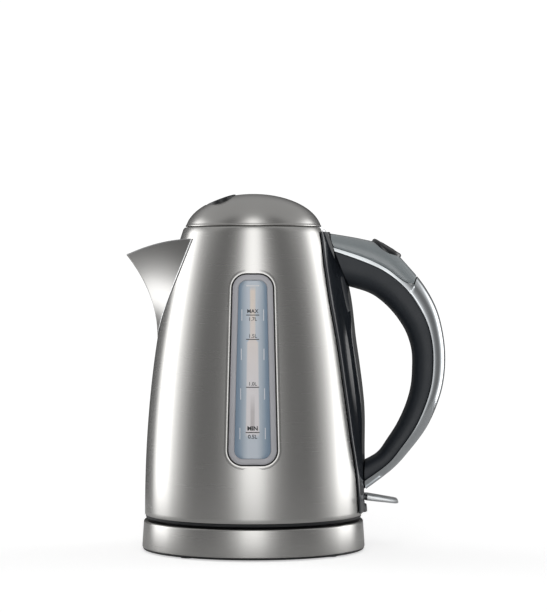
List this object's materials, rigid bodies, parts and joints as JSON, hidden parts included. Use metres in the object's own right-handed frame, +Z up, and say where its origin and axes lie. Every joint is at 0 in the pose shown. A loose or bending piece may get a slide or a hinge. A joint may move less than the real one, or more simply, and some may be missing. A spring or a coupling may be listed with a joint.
{
  "type": "electric kettle",
  "caption": "Cordless electric kettle: tapered brushed steel jug with a hinged dome lid, spout, water window and loop handle, on a round power base it lifts off.",
  "frame": {"origin": "on the jug's axis, at the surface that the kettle stands on", "axes": "+Z up, +X from the jug's axis towards the handle, -X towards the spout, -Y towards the water window"},
  "size_m": [0.2228, 0.1586, 0.2485],
  "materials": {
    "brushed_steel": "brushed across, satin",
    "bright_steel": "plain bright",
    "satin_silver": "satin chromed plastic",
    "smoke_grey": "smoky grey, glossy",
    "gloss_black": "glossy black",
    "black_plastic": "fine matte texture",
    "soft_grip": "soft-touch black",
    "rubber": "matte black",
    "window_blue": "frosted blue, clear channel",
    "frosted_rim": "frosted grey",
    "pale_plastic": "warm white",
    "silicone": "translucent grey",
    "brass": "plain",
    "aluminium": "as cast"
  },
  "bodies": {
    "power_base": {"base_trim_ring": "brushed_steel", "base_top_cover": "black_plastic", "base_underside_plate": "black_plastic", "rubber_foot_1": "rubber", "rubber_foot_2": "rubber", "rubber_foot_3": "rubber", "rubber_foot_4": "rubber", "base_screw_1": "bright_steel", "base_screw_2": "bright_steel", "base_screw_3": "bright_steel", "connector_socket": "black_plastic", "live_contact": "brass", "neutral_contact": "brass", "earth_contact": "bright_steel", "cord_bush": "rubber", "cord_clamp": "black_plastic"},
    "connector": {"plug_housing": "black_plastic", "plug_pin": "brass", "plug_ring": "brass"},
    "jug": {"jug_shell": "brushed_steel", "jug_floor": "bright_steel", "heat_plate": "aluminium", "heating_element": "aluminium", "control_unit": "black_plastic", "steam_switch": "black_plastic", "bimetal_disc": "brass", "steam_tube": "silicone", "jug_underside_cover": "black_plastic", "underside_screw_1": "bright_steel", "underside_screw_2": "bright_steel", "underside_screw_3": "bright_steel", "window_gasket": "rubber", "window_pane": "window_blue", "window_frame": "frosted_rim", "gauge_strip": "pale_plastic", "spout": "brushed_steel", "spout_filter_frame": "black_plastic", "spout_filter_mesh": "bright_steel", "mouth_collar": "black_plastic", "hinge_bracket": "bright_steel", "hinge_pin": "bright_steel", "lid_spring": "bright_steel", "handle_spine": "gloss_black", "handle_grip": "soft_grip", "handle_outer_shell": "satin_silver", "handle_top_cover": "smoke_grey", "button_spring": "bright_steel", "lever_bracket": "black_plastic", "lever_pin": "bright_steel"},
    "lid": {"lid_shell": "brushed_steel", "lid_thumb_pad": "gloss_black", "lid_liner": "black_plastic", "lid_seal": "silicone", "lid_hinge_arm": "bright_steel"},
    "release_button": {"release_button": "gloss_black"},
    "latch_slider": {"latch_slider": "bright_steel"},
    "switch_lever": {"switch_lever": "satin_silver"}
  },
  "joints": [
    {"name": "jug_lift", "type": "slide", "parent": "power_base", "child": "connector", "axis": [0, 0, 1], "range_m": [0, 0.12]},
    {"name": "jug_turn", "type": "hinge", "parent": "connector", "child": "jug", "pos_m": [0, 0, 0.03], "axis": [0, 0, 1], "continuous": true},
    {"name": "lid_hinge", "type": "hinge", "parent": "jug", "child": "lid", "pos_m": [0.049, 0, 0.2226], "axis": [0, 1, 0], "range_deg": [0, 78]},
    {"name": "button_press", "type": "slide", "parent": "jug", "child": "release_button", "axis": [-0.5158, 0, -0.8567], "range_m": [0, 0.0025], "stiffness_N_per_m": 400, "springref_m": -0.002},
    {"name": "latch_slide", "type": "slide", "parent": "jug", "child": "latch_slider", "axis": [1, 0, 0], "range_m": [0, 0.0015]},
    {"name": "switch_toggle", "type": "hinge", "parent": "jug", "child": "switch_lever", "pos_m": [0.07434, 0, 0.0375], "axis": [0, -1, 0], "range_deg": [0, 10]}
  ],
  "couplings": [
    {"joint": "latch_slide", "follows": "button_press", "ratio": 0.6}
  ]
}
